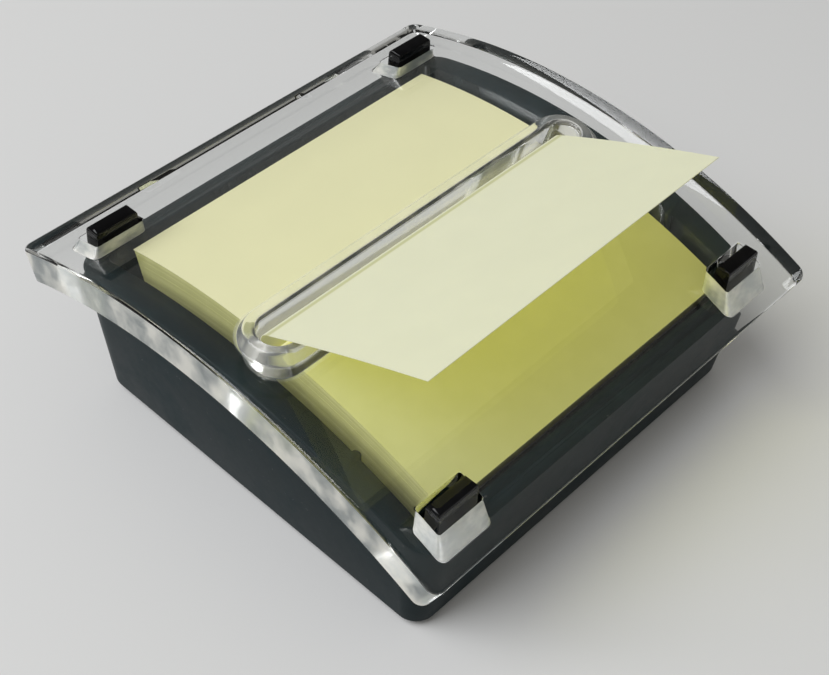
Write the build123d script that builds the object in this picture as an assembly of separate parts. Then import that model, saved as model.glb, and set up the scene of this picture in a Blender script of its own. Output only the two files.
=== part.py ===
from build123d import *
import math
import os

# Pop-up memo note holder: a weighted black base, four guide posts, a thick clear
# arched cover that floats on them, and a bent pad of notes drawn up through a slot.
# Millimetres, +Z up, +Y to the back, origin on the table under the middle of the cover.

# ---- Notes ----
NOTE_SIZE = 76.2            # square note, side
STACK_THICKNESS = 9.6       # paper of a nearly full pad
CARD_THICKNESS = 0.5        # backing card under the paper
NOTE_THICKNESS = 0.2        # one loose note, with its slight curl
LAYER_GAP = 0.05            # air between two layers of the pad
NOTE_SHIFT_X = -1.9         # the standing note is drawn up a little to the left
NOTE_LEAN = 27.5            # degrees, slope of the standing note above the level
NOTE_BEND_RADIUS = 2.4      # where the standing note turns over to the front
NOTE_REACH = 40.0           # straight part of the standing note, after its bend
NOTE_CLEARANCE = 0.3        # standing note to the walls of the slot and to the pad
CURL_RISE = 2.0             # how far the next note's edge stands up in the slot
PAD_TURN = -3.56            # degrees along the arch, middle of the pad from the crown

# ---- Clear cover ----
COVER_SIDE = 9.3            # cover beyond the pocket's side walls
COVER_FRONT = 11.05         # upper front edge, in front of the pocket
COVER_BACK = 13.45          # upper back edge, behind the pocket
COVER_THICKNESS = 6.9
COVER_RADIUS = 131.9        # upper face of the arch
CROWN_Y = 5.0               # top of the arch, behind the middle of the cover
COVER_CORNER = 2.2
COVER_EDGE = 0.7
COVER_CLEARANCE = 0.3       # underside to the topmost note
COVER_PLAY = 0.5            # the cover sits this far back on its posts

# ---- Slot with its raised lip ----
SLOT_Y = -2.9
SLOT_SIDE_GAP = 2.0         # note to the ends of the opening at the top of the lip
SLOT_WIDTH = 6.4
SLOT_TAPER = 14.0           # degrees, the slot widens downwards
LIP_HEIGHT = 2.0
LIP_WIDTH = 2.4             # across the top of the lip
LIP_TAPER = 30.0            # degrees, outer flank
LIP_ROUND = 0.9             # upper edges of the lip

# ---- Guide posts and their holes ----
POST_SIDE_INSET = 3.5       # post middle inside the pocket's side wall
POST_WIDTH = 9.8
POST_THICKNESS = 3.6
POST_TAPER = 1.5            # degrees
POST_PROUD = 2.9            # above the upper face of the cover
POST_ROUND = 1.1
POST_INSET = 2.0            # post middle in front of the pocket, or behind it
STEM_WIDTH = 5.6
STEM_THICKNESS = 1.6
STEM_LENGTH = 5.0
STEM_CLEARANCE = 0.05
HOLE_WIDTH = 10.5            # opening in the upper face of the cover
HOLE_DEPTH = 5.4
HOLE_TAPER = 7.0            # degrees, the holes widen downwards
HOLE_CORNER = 0.5
HOLE_EDGE = 0.3             # rounding where a hole meets the upper face

# ---- Base shell ----
POCKET_SIDE_GAP = 4.2       # pad to each side wall
POCKET_FRONT_GAP = 0.9      # pad to the front wall
POCKET_BACK_GAP = 3.2       # pad to the back wall
POCKET_CORNER = 2.0
WALL_FOOT_X = 2.1           # outer wall's foot, outside the pocket
WALL_FOOT_Y = 1.6
BASE_DRAFT = 6.0            # degrees, outer walls lean outwards
BASE_CORNER = 4.0
BASE_EDGE = 1.2
RIM_GAP = 1.2               # rim to the underside of the cover
RIM_EDGE = 0.3
FLOOR_CROWN = 21.8          # pad floor above the base's lower edge, at the crown
FLOOR_THICKNESS = 2.4
SHELL_WALL = 2.4            # at the lower edge
RIB_RADIUS = 0.9            # half-round ribs on the pocket's side walls
RIB_FROM_FRONT = 16.4

# ---- Bottom cover, ballast, screws and feet ----
PLATE_THICKNESS = 2.4
PLATE_LEDGE = 0.8           # seat of the bottom cover in the shell
PLATE_CLEARANCE = 0.15
PLATE_CORNER = 2.0
BALLAST_SIDE_GAP = 11.0     # ballast to the side walls of the hollow
BALLAST_HEADROOM = 1.6      # ballast to the arched ceiling, at its front edge
BALLAST_THICKNESS = 5.0
BALLAST_CORNER = 3.0
BALLAST_COUNT = 2
PIN_RADIUS = 2.0            # pins of the bottom cover through the ballast
PIN_CLEARANCE = 0.3
PIN_INSET_X = 9.0           # from the edges of the ballast
PIN_INSET_Y = 10.0
BOSS_INSET = 4.8            # from the side walls of the hollow
BOSS_Y = 13.0               # from the middle of the base
BOSS_RADIUS = 3.4
SCREW_RADIUS = 1.4
SCREW_HEAD_RADIUS = 2.7
SCREW_LENGTH = 8.0
SCREW_CLEARANCE = 0.1
FOOT_INSET_X = 7.8          # from the edges of the bottom cover
FOOT_INSET_Y = 8.5
FOOT_RADIUS = 5.0
FOOT_THICKNESS = 2.0
FOOT_PROUD = 0.8            # rubber below the base's lower edge
FOOT_CLEARANCE = 0.1

# ---- Helpers for cutting and joining ----
OVERRUN = 1.0               # cutters and stems run this far past the face they meet
TOLERANCE = 0.01            # for finding edges by their place

# ---- The shared arch: every curved face has its axis on one line along X ----
under_radius = COVER_RADIUS - COVER_THICKNESS
next_radius = under_radius - COVER_CLEARANCE
stack_radius = next_radius - NOTE_THICKNESS - LAYER_GAP
card_radius = stack_radius - STACK_THICKNESS - LAYER_GAP
floor_radius = card_radius - CARD_THICKNESS - LAYER_GAP
rim_radius = under_radius - RIM_GAP
ceiling_radius = floor_radius - FLOOR_THICKNESS
base_z = FOOT_PROUD
axis_z = base_z + FLOOR_CROWN - floor_radius

top_z = axis_z + COVER_RADIUS + LIP_HEIGHT

# ---- Plan of the pad, the pocket and the base ----
pad_start = math.radians(PAD_TURN) - NOTE_SIZE / stack_radius / 2
pad_end = pad_start + NOTE_SIZE / stack_radius
pocket_front_y = CROWN_Y + stack_radius * math.sin(pad_start) - POCKET_FRONT_GAP
pocket_back_y = CROWN_Y + stack_radius * math.sin(pad_end) + POCKET_BACK_GAP
base_y = (pocket_front_y + pocket_back_y) / 2
pocket_width = NOTE_SIZE + 2 * POCKET_SIDE_GAP
pocket_depth = pocket_back_y - pocket_front_y
foot_width = pocket_width + 2 * WALL_FOOT_X
foot_depth = pocket_depth + 2 * WALL_FOOT_Y
hollow_width = foot_width - 2 * SHELL_WALL
hollow_depth = foot_depth - 2 * SHELL_WALL
plate_width = hollow_width + 2 * PLATE_LEDGE
plate_depth = hollow_depth + 2 * PLATE_LEDGE
plate_top = base_z + PLATE_THICKNESS
post_x = pocket_width / 2 - POST_SIDE_INSET
post_reach = pocket_depth / 2 + POST_INSET

# ---- Plan of the cover and of what lies in the base ----
cover_width = pocket_width + 2 * COVER_SIDE
cover_front_y = pocket_front_y - COVER_FRONT
cover_back_y = pocket_back_y + COVER_BACK
slot_length = NOTE_SIZE + 2 * SLOT_SIDE_GAP
ballast_top = plate_top + BALLAST_COUNT * BALLAST_THICKNESS
ballast_reach = math.sqrt(ceiling_radius**2 - (ballast_top + BALLAST_HEADROOM - axis_z) ** 2)
ballast_depth = 2 * (base_y - CROWN_Y + ballast_reach)
ballast_width = hollow_width - 2 * BALLAST_SIDE_GAP
pin_x = ballast_width / 2 - PIN_INSET_X
pin_y = ballast_depth / 2 - PIN_INSET_Y
boss_x = hollow_width / 2 - BOSS_INSET
foot_x = plate_width / 2 - FOOT_INSET_X
foot_y = plate_depth / 2 - FOOT_INSET_Y

SIDES = (("left", -1), ("right", 1))
ENDS = (("front", -1), ("back", 1))
CORNERS = [(f"{end}_{side}", sx, sy) for end, sy in ENDS for side, sx in SIDES]


def arc_z(radius, y):
    """Height of the shared arch of this radius over the point y."""
    return axis_z + math.sqrt(radius**2 - (y - CROWN_Y) ** 2)


def arc_angle(radius, y):
    """Angle from the crown, positive to the back, of the point over y."""
    return math.asin((y - CROWN_Y) / radius)


def round_bar(radius):
    """A bar along X, on the shared axis."""
    return Pos(0, CROWN_Y, axis_z) * Rot(0, 90, 0) * Cylinder(radius, 2 * cover_width)


def arched_sheet(inner, outer, start, end, width):
    """A piece of the arch between two radii and two angles, measured from the crown."""
    def point(radius, angle):
        return (CROWN_Y + radius * math.sin(angle), axis_z + radius * math.cos(angle))

    middle = (start + end) / 2
    outline = Curve() + [
        ThreePointArc(point(outer, start), point(outer, middle), point(outer, end)),
        Line(point(outer, end), point(inner, end)),
        ThreePointArc(point(inner, end), point(inner, middle), point(inner, start)),
        Line(point(inner, start), point(outer, start)),
    ]
    face = Plane.YZ * make_face(outline)
    return extrude(face, width / 2, both=True)


def edges_on_arc(shape, radius):
    """Edges of a shape that lie on the shared arch of this radius."""
    found = []
    for edge in shape.edges():
        middle = edge @ 0.5
        if abs(middle.Z - arc_z(radius, middle.Y)) < TOLERANCE:
            found.append(edge)
    return found


def upright(width, depth, corner, x, y, z, height, taper=0.0):
    """An upright block with rounded corners; a positive taper narrows it upwards."""
    return extrude(Pos(x, y, z) * RectangleRounded(width, depth, corner), height, taper=taper)


def post_places():
    """Name and middle of each guide post."""
    return [(name, sx * post_x, base_y + sy * post_reach) for name, sx, sy in CORNERS]


def make_base_shell():
    """Black tray: drafted walls, arched pad floor, open underneath."""
    shell = upright(foot_width, foot_depth, BASE_CORNER, 0, base_y, base_z, top_z, -BASE_DRAFT)
    shell &= round_bar(rim_radius)
    shell = fillet(shell.edges().group_by(Axis.Z)[0], BASE_EDGE)
    shell = fillet(edges_on_arc(shell, rim_radius), RIM_EDGE)
    pocket = upright(pocket_width, pocket_depth, POCKET_CORNER, 0, base_y, 0, top_z)
    shell -= pocket - round_bar(floor_radius)
    hollow = upright(hollow_width, hollow_depth, PLATE_CORNER, 0, base_y, 0, top_z)
    shell -= hollow & round_bar(ceiling_radius)
    seat_width = plate_width + 2 * PLATE_CLEARANCE
    seat_depth = plate_depth + 2 * PLATE_CLEARANCE
    shell -= upright(seat_width, seat_depth, PLATE_CORNER, 0, base_y, 0, plate_top)
    rib_y = pocket_front_y + RIB_FROM_FRONT
    ribs = Part()
    for _, sx in SIDES:
        ribs += Pos(sx * pocket_width / 2, rib_y, top_z / 2) * Cylinder(RIB_RADIUS, top_z)
    shell += (ribs & round_bar(rim_radius)) - round_bar(ceiling_radius)
    for _, sx, sy in CORNERS:
        boss = Pos(sx * boss_x, base_y + sy * BOSS_Y, plate_top) * Cylinder(
            BOSS_RADIUS, top_z, align=(Align.CENTER, Align.CENTER, Align.MIN)
        )
        shell += boss & round_bar(floor_radius - FLOOR_THICKNESS / 2)
        pilot_top = base_z + SCREW_LENGTH + SCREW_CLEARANCE
        shell -= Pos(sx * boss_x, base_y + sy * BOSS_Y, 0) * Cylinder(
            SCREW_RADIUS, pilot_top, align=(Align.CENTER, Align.CENTER, Align.MIN)
        )
    for _, x, y in post_places():
        socket_floor = arc_z(rim_radius, y) - STEM_LENGTH - STEM_CLEARANCE
        width = STEM_WIDTH + 2 * STEM_CLEARANCE
        thickness = STEM_THICKNESS + 2 * STEM_CLEARANCE
        shell -= Pos(x, y, socket_floor) * Box(
            width, thickness, top_z, align=(Align.CENTER, Align.CENTER, Align.MIN)
        )
    return shell


def make_guide_post(x, y):
    """Glossy post with a rounded top, standing on the rim by a stem."""
    low = min(arc_z(rim_radius, y - POST_THICKNESS), arc_z(rim_radius, y + POST_THICKNESS))
    height = arc_z(COVER_RADIUS, y) + POST_PROUD - low
    post = extrude(Pos(x, y, low) * Rectangle(POST_WIDTH, POST_THICKNESS), height, taper=POST_TAPER)
    post = fillet(post.edges().group_by(Axis.Z)[-1], POST_ROUND)
    post -= round_bar(rim_radius)
    stem = Pos(x, y, arc_z(rim_radius, y) - STEM_LENGTH) * Box(
        STEM_WIDTH, STEM_THICKNESS, STEM_LENGTH + OVERRUN, align=(Align.CENTER, Align.CENTER, Align.MIN)
    )
    return post + stem


def make_bottom_cover():
    """Plate that closes the base, with pins for the ballast and seats for the feet."""
    plate = upright(plate_width, plate_depth, PLATE_CORNER, 0, base_y, base_z, PLATE_THICKNESS)
    pin_height = PLATE_THICKNESS + BALLAST_COUNT * BALLAST_THICKNESS
    seat_depth = FOOT_THICKNESS - FOOT_PROUD
    for _, sx, sy in CORNERS:
        plate += Pos(sx * pin_x, base_y + sy * pin_y, base_z) * Cylinder(
            PIN_RADIUS, pin_height, align=(Align.CENTER, Align.CENTER, Align.MIN)
        )
        plate -= Pos(sx * foot_x, base_y + sy * foot_y, base_z) * Cylinder(
            FOOT_RADIUS + FOOT_CLEARANCE, seat_depth, align=(Align.CENTER, Align.CENTER, Align.MIN)
        )
        plate -= screw_shape(sx * boss_x, base_y + sy * BOSS_Y, SCREW_CLEARANCE)
    return plate


def screw_shape(x, y, grow=0.0):
    """Countersunk screw, head down; grow makes the hole that it goes in."""
    head_height = SCREW_HEAD_RADIUS - SCREW_RADIUS
    head = Pos(x, y, base_z) * Cone(
        SCREW_HEAD_RADIUS + grow,
        SCREW_RADIUS + grow,
        head_height,
        align=(Align.CENTER, Align.CENTER, Align.MIN),
    )
    shank = Pos(x, y, base_z) * Cylinder(
        SCREW_RADIUS + grow, SCREW_LENGTH, align=(Align.CENTER, Align.CENTER, Align.MIN)
    )
    return head + shank


def make_screws():
    """The four identical screws of the bottom cover."""
    thread = SCREW_CLEARANCE / 2
    return Compound([screw_shape(sx * boss_x, base_y + sy * BOSS_Y, -thread) for _, sx, sy in CORNERS])


def make_ballast_plate(level):
    """Steel plate of the weight; level 0 lies on the bottom cover."""
    z = plate_top + level * BALLAST_THICKNESS
    plate = upright(ballast_width, ballast_depth, BALLAST_CORNER, 0, base_y, z, BALLAST_THICKNESS)
    for _, sx, sy in CORNERS:
        plate -= Pos(sx * pin_x, base_y + sy * pin_y, z) * Cylinder(
            PIN_RADIUS + PIN_CLEARANCE,
            BALLAST_THICKNESS,
            align=(Align.CENTER, Align.CENTER, Align.MIN),
        )
    return plate


def make_foot(sx, sy):
    """Round rubber foot in its seat."""
    foot = Pos(sx * foot_x, base_y + sy * foot_y, 0) * Cylinder(
        FOOT_RADIUS, FOOT_THICKNESS, align=(Align.CENTER, Align.CENTER, Align.MIN)
    )
    return fillet(foot.edges().group_by(Axis.Z)[0], FOOT_PROUD / 2)


def make_pad_layer(inner, outer):
    """One layer of the bent pad between two radii."""
    return arched_sheet(inner, outer, pad_start, pad_end, NOTE_SIZE)


def make_next_note():
    """Top sheet of the pad; its front edge stands up into the slot."""
    inner = next_radius - NOTE_THICKNESS
    edge_y = SLOT_Y
    start = arc_angle(next_radius, edge_y)
    sheet = arched_sheet(inner, next_radius, start, pad_end, NOTE_SIZE)
    curl = Pos(0, edge_y + NOTE_THICKNESS / 2, arc_z(inner, edge_y)) * Box(
        NOTE_SIZE, NOTE_THICKNESS, CURL_RISE, align=(Align.CENTER, Align.CENTER, Align.MIN)
    )
    return sheet + curl


def lip_plan(grow):
    """Plan of the slot's opening, grown all round."""
    return SlotOverall(slot_length + 2 * grow, SLOT_WIDTH + 2 * grow)


def post_hole(x, y):
    """Cutter of one post hole; it narrows from the underside to the upper face."""
    foot = arc_z(under_radius, y) - COVER_THICKNESS
    top = arc_z(COVER_RADIUS, y)
    grow = (top - foot) * math.tan(math.radians(HOLE_TAPER))
    plan = RectangleRounded(HOLE_WIDTH + 2 * grow, HOLE_DEPTH + 2 * grow, HOLE_CORNER + grow)
    return extrude(Pos(x, y, foot) * plan, top - foot + HOLE_DEPTH, taper=HOLE_TAPER)


def near_post(edge):
    """Whether the middle of an edge lies at a post hole."""
    middle = edge @ 0.5
    return any(
        abs(middle.X - x) < HOLE_WIDTH and abs(middle.Y - y) < HOLE_WIDTH
        for _, x, y in post_places()
    )


def make_clear_cover():
    """Thick clear arch with four post holes and a lipped slot."""
    start = arc_angle(COVER_RADIUS, cover_front_y)
    end = arc_angle(COVER_RADIUS, cover_back_y)
    cover = arched_sheet(under_radius, COVER_RADIUS, start, end, cover_width)
    corner_edges = [
        edge
        for edge in cover.edges().filter_by(GeomType.LINE)
        if abs(edge.length - COVER_THICKNESS) < TOLERANCE
    ]
    cover = fillet(corner_edges, COVER_CORNER)
    cover = fillet(edges_on_arc(cover, COVER_RADIUS), COVER_EDGE)
    lip_top = arc_z(COVER_RADIUS, CROWN_Y) + LIP_HEIGHT
    lip_foot = arc_z(under_radius, SLOT_Y) + COVER_THICKNESS / 2
    spread = (lip_top - lip_foot) * math.tan(math.radians(LIP_TAPER))
    place = Pos(NOTE_SHIFT_X, SLOT_Y, lip_foot)
    lip = extrude(place * lip_plan(LIP_WIDTH + spread), lip_top - lip_foot + OVERRUN, taper=LIP_TAPER)
    cover += lip & round_bar(COVER_RADIUS + LIP_HEIGHT)
    slot_foot = arc_z(under_radius, SLOT_Y) - COVER_THICKNESS
    widening = (lip_top - slot_foot) * math.tan(math.radians(SLOT_TAPER))
    place = Pos(NOTE_SHIFT_X, SLOT_Y, slot_foot)
    cover -= extrude(place * lip_plan(widening), lip_top - slot_foot + OVERRUN, taper=SLOT_TAPER)
    cover = fillet(edges_on_arc(cover, COVER_RADIUS + LIP_HEIGHT), LIP_ROUND)
    for _, x, y in post_places():
        cover -= post_hole(x, y + COVER_PLAY)
    hole_edges = [edge for edge in edges_on_arc(cover, COVER_RADIUS) if near_post(edge)]
    return fillet(hole_edges, HOLE_EDGE)


def make_standing_note():
    """Note in use: up the back of the slot, then over the front lip."""
    lean = math.radians(NOTE_LEAN)
    edge_y = SLOT_Y - SLOT_WIDTH / 2
    edge_z = arc_z(COVER_RADIUS + LIP_HEIGHT, edge_y)
    outer_bend = NOTE_BEND_RADIUS + NOTE_THICKNESS
    centre_y = SLOT_Y + SLOT_WIDTH / 2 - NOTE_CLEARANCE - outer_bend
    centre_z = edge_z + (
        (edge_y - centre_y) * math.sin(lean) - NOTE_BEND_RADIUS + NOTE_CLEARANCE
    ) / math.cos(lean)
    foot_z = arc_z(next_radius, centre_y + outer_bend) + NOTE_CLEARANCE

    def bend(radius, angle):
        return (centre_y + radius * math.sin(angle), centre_z + radius * math.cos(angle))

    def face_line(radius):
        """Foot, start, middle and end of the bend, and tip, for one face of the note."""
        end_y, end_z = bend(radius, lean)
        tip = (end_y - NOTE_REACH * math.cos(lean), end_z + NOTE_REACH * math.sin(lean))
        middle = (math.pi / 2 + lean) / 2
        foot = (centre_y + radius, foot_z)
        return foot, bend(radius, math.pi / 2), bend(radius, middle), (end_y, end_z), tip

    inner = face_line(NOTE_BEND_RADIUS)
    outer = face_line(outer_bend)
    outline = Curve() + [
        Line(inner[0], inner[1]),
        ThreePointArc(inner[1], inner[2], inner[3]),
        Line(inner[3], inner[4]),
        Line(inner[4], outer[4]),
        Line(outer[4], outer[3]),
        ThreePointArc(outer[3], outer[2], outer[1]),
        Line(outer[1], outer[0]),
        Line(outer[0], inner[0]),
    ]
    face = Plane.YZ * make_face(outline)
    return Pos(NOTE_SHIFT_X, 0, 0) * extrude(face, NOTE_SIZE / 2, both=True)


def build():
    """All nodes by name."""
    nodes = {"base_shell": make_base_shell(), "bottom_cover": make_bottom_cover()}
    for name, x, y in post_places():
        nodes[f"guide_post_{name}"] = make_guide_post(x, y)
    for level in range(BALLAST_COUNT):
        nodes[f"ballast_plate_{level + 1}"] = make_ballast_plate(level)
    for name, sx, sy in CORNERS:
        nodes[f"rubber_foot_{name}"] = make_foot(sx, sy)
    nodes["base_screws"] = make_screws()
    nodes["backing_card"] = make_pad_layer(card_radius - CARD_THICKNESS, card_radius)
    nodes["note_stack"] = make_pad_layer(stack_radius - STACK_THICKNESS, stack_radius)
    nodes["next_note"] = make_next_note()
    nodes["clear_cover"] = make_clear_cover()
    nodes["standing_note"] = make_standing_note()
    return nodes


os.makedirs("parts", exist_ok=True)
for node_name, solid in build().items():
    export_step(solid, f"parts/{node_name}.step")
    print(node_name, round(solid.volume / 1000, 2), "cm3")
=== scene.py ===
"""Memo note holder: a black tray, a clear arched cover on four posts, and a pad of yellow notes.

The packed model is loaded as a fixed frame. Each operator dresses one group of pieces.
Metres, +Z up, +Y to the back, origin on the table under the middle of the cover.
"""
import math

import bmesh
import bpy
from mathutils import Matrix, Vector
from mathutils.geometry import delaunay_2d_cdt


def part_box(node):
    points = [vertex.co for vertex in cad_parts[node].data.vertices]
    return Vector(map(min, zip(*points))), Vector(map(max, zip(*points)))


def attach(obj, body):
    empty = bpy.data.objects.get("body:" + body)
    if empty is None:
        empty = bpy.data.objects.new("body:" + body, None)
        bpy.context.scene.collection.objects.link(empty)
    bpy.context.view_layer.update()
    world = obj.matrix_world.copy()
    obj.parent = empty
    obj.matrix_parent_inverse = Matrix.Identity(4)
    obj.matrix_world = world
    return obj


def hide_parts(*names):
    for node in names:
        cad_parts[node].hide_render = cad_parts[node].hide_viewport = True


bl_info = {
    "name": "Memo note holder",
    "version": (1, 0, 0),
    "blender": (4, 5, 0),
    "location": "View3D > Sidebar > Memo holder",
    "description": "Dresses the pieces of a desk holder for pop-up memo notes",
    "category": "Object",
}

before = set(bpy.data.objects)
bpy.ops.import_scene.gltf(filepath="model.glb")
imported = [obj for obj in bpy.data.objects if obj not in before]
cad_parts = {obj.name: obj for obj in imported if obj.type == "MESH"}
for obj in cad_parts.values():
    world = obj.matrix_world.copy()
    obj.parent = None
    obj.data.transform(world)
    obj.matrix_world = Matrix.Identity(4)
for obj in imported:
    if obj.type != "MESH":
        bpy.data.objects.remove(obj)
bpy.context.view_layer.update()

MM = 0.001
CORNERS = ("front_left", "front_right", "back_left", "back_right")

# ---- The shared arch: every curved face has its axis on one line along X ----
cover_low, cover_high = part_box("clear_cover")
stack_low, stack_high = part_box("note_stack")
next_low, next_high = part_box("next_note")
note_low, note_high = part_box("standing_note")
COVER_RADIUS = 131.9 * MM
COVER_THICKNESS = 6.9 * MM
CROWN_Y = 5.0 * MM
NEXT_GAP = 0.3 * MM         # underside of the cover to the top note
NOTE_SKIN = 0.2 * MM        # the room that one loose note takes
STACK_GAP = 0.55 * MM       # underside of the cover to the pad
STACK_THICKNESS = 9.6 * MM
NOTE_SIZE = stack_high.x - stack_low.x
UNDER_RADIUS = COVER_RADIUS - COVER_THICKNESS
NEXT_RADIUS = UNDER_RADIUS - NEXT_GAP
STACK_RADIUS = UNDER_RADIUS - STACK_GAP
AXIS_Z = stack_high.z - STACK_RADIUS

# ---- Pocket, whose walls are smoother than the tray's outside ----
POCKET_SIDE = 4.4 * MM      # from the pad to just past each side wall
POCKET_FRONT = 1.1 * MM
POCKET_BACK = 3.4 * MM
POCKET_LOW = (stack_low.x - POCKET_SIDE, stack_low.y - POCKET_FRONT)
POCKET_HIGH = (stack_high.x + POCKET_SIDE, stack_high.y + POCKET_BACK)
POCKET_SLOT = 1             # slot of the pocket's finish in the tray

# ---- Cover, lip and holes ----
CLEAR, CUT, LIP = range(3)  # slots of the cover's finishes
COVER_CORNER = 2.2 * MM
UNDER_EDGE = 0.2 * MM       # rounding of every lower edge
SLOT_X = (note_low.x + note_high.x) / 2
SLOT_Y = -2.9 * MM
SLOT_SIDE_GAP = 2.0 * MM    # note to each end of the slot
SLOT_LENGTH = NOTE_SIZE + 2 * SLOT_SIDE_GAP
SLOT_WIDTH = 6.4 * MM
SLOT_CORNER = SLOT_WIDTH / 2 - 0.05 * MM    # just short of a half circle
SLOT_TAPER = math.radians(14)
LIP_HEIGHT = 2.0 * MM
LIP_WIDTH = 2.4 * MM
LIP_TAPER = math.radians(30)
LIP_RUN = 0.5 * MM          # strip of the cover's faces that borders the lip and the slot
LIP_FOOT = 0.6 * MM         # rounding where the lip rises from the cover
HOLE_WIDTH = 10.5 * MM
HOLE_DEPTH = 5.4 * MM
HOLE_CORNER = 0.5 * MM
HOLE_EDGE = 0.3 * MM
HOLE_TAPER = math.radians(7)
HOLE_SHIFT = 0.5 * MM       # the cover sits this far back on its posts

# ---- Pad and notes ----
PAPER_PLAY = 0.1 * MM       # keeps paper inside the room of its node
SHEET_GROUP = 0.6 * MM      # thickness of the bands that the pad's sides show
LEAF_ROWS = 36              # strips of a group of sheets, along the arch
LEAF_SEED = 7
NEXT_STEPS = 40             # strips of the top note, along the arch
CURL_RADIUS = 1.6 * MM      # where the top note turns up into the slot
CURL_TURN = math.radians(78)
CURL_STEPS = 8
CURL_TIP = 0.35             # share of the room above the curl that its straight tip takes
NOTE_COLUMNS = 24           # strips of a loose note, along X
NOTE_STEPS = (8, 12, 24)    # strips up the slot, round the bend and out to the free edge
NOTE_LEAN = math.radians(25.2)
NOTE_BEND = 2.5 * MM        # radius of the bend over the front lip
NOTE_TURN_Z = 37.8 * MM     # height of the bend's middle
NOTE_SHADE_LINE = 1.8 * MM      # from the note's back to the painted shade line where it leaves the lip
NOTE_TWIST = Vector((1.5, -1.8)) * MM   # right free corner from the left one, back and down

# ---- Divisions of the cover's mesh ----
OUTER_COUNTS = (60, 64, 8)  # points along X, along Y and round a corner
SLOT_COUNTS = (60, 1, 16)
HOLE_COUNTS = (6, 4, 4)
OUTER_STEPS = 6             # steps of each arc in the outer edge's profile
OUTER_STRIPS = 1            # strips of each arc that have the wall's finish
LIP_STEPS = 7
HOLE_STEPS = 4
HOLE_STRIPS = 2
FACING = 0.7                # share of a side's normal that tells which way it looks
SAME_POINT = 1e-9           # points of a face closer than this are one

# ---- Smoothing: a packed node's points closer than this are one; wider angles stay sharp ----
MERGE_REACH = 0.5e-6
COPY_SHARP = math.radians(25)
COVER_SHARP = math.radians(35)
PAPER_SHARP = math.radians(40)

# ---- Colours that no look sets ----
ACRYLIC_IOR = 1.49
ACRYLIC_PASSED = (0.98, 0.982, 0.98, 1)     # lamp light that clear plastic lets through
GLOW_SKIN_DARK = (0.5, 0.56, 0.57, 1)            # satin skin of a cut edge, made pale as painted glow of light piped through the acrylic
GLOW_SKIN_PALE = (0.95, 0.94, 0.87, 1)
DUST = (0.32, 0.33, 0.33, 1)
NOTE_PASSED = (0.8, 0.78, 0.46)             # lamp light that one note lets through
PAINTED_LINE_SHADE = (0.72, 0.72, 0.5)            # painted shade where a note bends over the lip; shades are factors on the paper's colour
# Painted shade on the pad's cut sides: darker copies of the paper's colour
SIDE_SHADE_DEEP = (0.66, 0.68, 0.44)
SIDE_SHADE_PALE = (0.84, 0.85, 0.64)
CARD_DARK = (0.42, 0.4, 0.36, 1)
CARD_PALE = (0.58, 0.56, 0.5, 1)
BALLAST_STEEL = (0.35, 0.35, 0.36)
SCREW_STEEL = (0.6, 0.6, 0.6)
RUBBER = (0.018, 0.018, 0.018, 1)
RUBBER_WORN = (0.07, 0.07, 0.068, 1)

# ---- Floor, window and room ----
FLOOR_RADIUS = 3.0
FLOOR_SIDES = 96
FLOOR_DROP = 0.02 * MM      # keeps the floor clear of the feet
WINDOW_PLACE = (-0.75, 0.4, 1.04)
WINDOW_TARGET = (0, 0, 0.02)
WINDOW_SIZE = 1.0
WINDOW_COLOUR = (0.985, 0.99, 1.0)
ROOM_COLOUR = (1.0, 0.98, 0.92, 1)

# ---- Camera, as the photograph was taken ----
CAMERA_PLACE = Vector((-156.43, -133.64, 222.85)) * MM
CAMERA_AZIMUTH = math.radians(-49.384)
CAMERA_ELEVATION = math.radians(46.077)
CAMERA_ROLL = math.radians(3.768)
CAMERA_LENS = 66.44
CAMERA_SENSOR = 36.0


# ---------------------------------------------------------------- sizes and colours

class CoverLook(bpy.types.PropertyGroup):
    """Clear cover."""
    edge: bpy.props.FloatProperty(
        name="Edge rounding", description="Rounding of the upper outer edges",
        default=0.7 * MM, min=0.1 * MM, max=2 * MM, unit="LENGTH", precision=5,
    )
    lip_round: bpy.props.FloatProperty(
        name="Lip rounding", description="Rounding of the lip's upper edges",
        default=1.0 * MM, min=0.1 * MM, max=1.1 * MM, unit="LENGTH", precision=5,
    )
    grid: bpy.props.FloatProperty(
        name="Face grid", description="Spacing of the points inside the arched faces",
        default=1.6 * MM, min=0.5 * MM, max=5 * MM, unit="LENGTH", precision=5,
    )
    tint: bpy.props.FloatVectorProperty(
        name="Tint", description="Colour of the clear plastic", subtype="COLOR",
        default=(0.965, 0.975, 0.97), min=0, max=1,
    )


class NoteLook(bpy.types.PropertyGroup):
    """Pad and loose notes."""
    sheet: bpy.props.FloatProperty(
        name="Note thickness", description="Paper of one loose note",
        default=0.12 * MM, min=0.05 * MM, max=0.2 * MM, unit="LENGTH", precision=5,
    )
    leaves: bpy.props.IntProperty(
        name="Leaves", description="Groups of sheets that the pad is built from",
        default=32, min=4, max=60,
    )
    uneven: bpy.props.FloatProperty(
        name="Unevenness", description="How far a group of sheets may stand out of line",
        default=0.02 * MM, min=0, max=0.3 * MM, unit="LENGTH", precision=5,
    )
    bow: bpy.props.FloatProperty(
        name="Bow", description="Rise of the standing note's middle",
        default=0.35 * MM, min=0, max=2 * MM, unit="LENGTH", precision=5,
    )
    paper: bpy.props.FloatVectorProperty(
        name="Paper", description="Colour of the paper", subtype="COLOR",
        default=(0.92, 0.895, 0.555), min=0, max=1,
    )
    loose: bpy.props.FloatVectorProperty(
        name="Loose paper", description="Colour of a single sheet, paler than the pad",
        subtype="COLOR", default=(0.74, 0.755, 0.66), min=0, max=1,
    )
    through: bpy.props.FloatVectorProperty(
        name="Light through paper", description="Colour of light that passes a sheet",
        subtype="COLOR", default=(0.95, 0.93, 0.3), min=0, max=1,
    )


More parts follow.
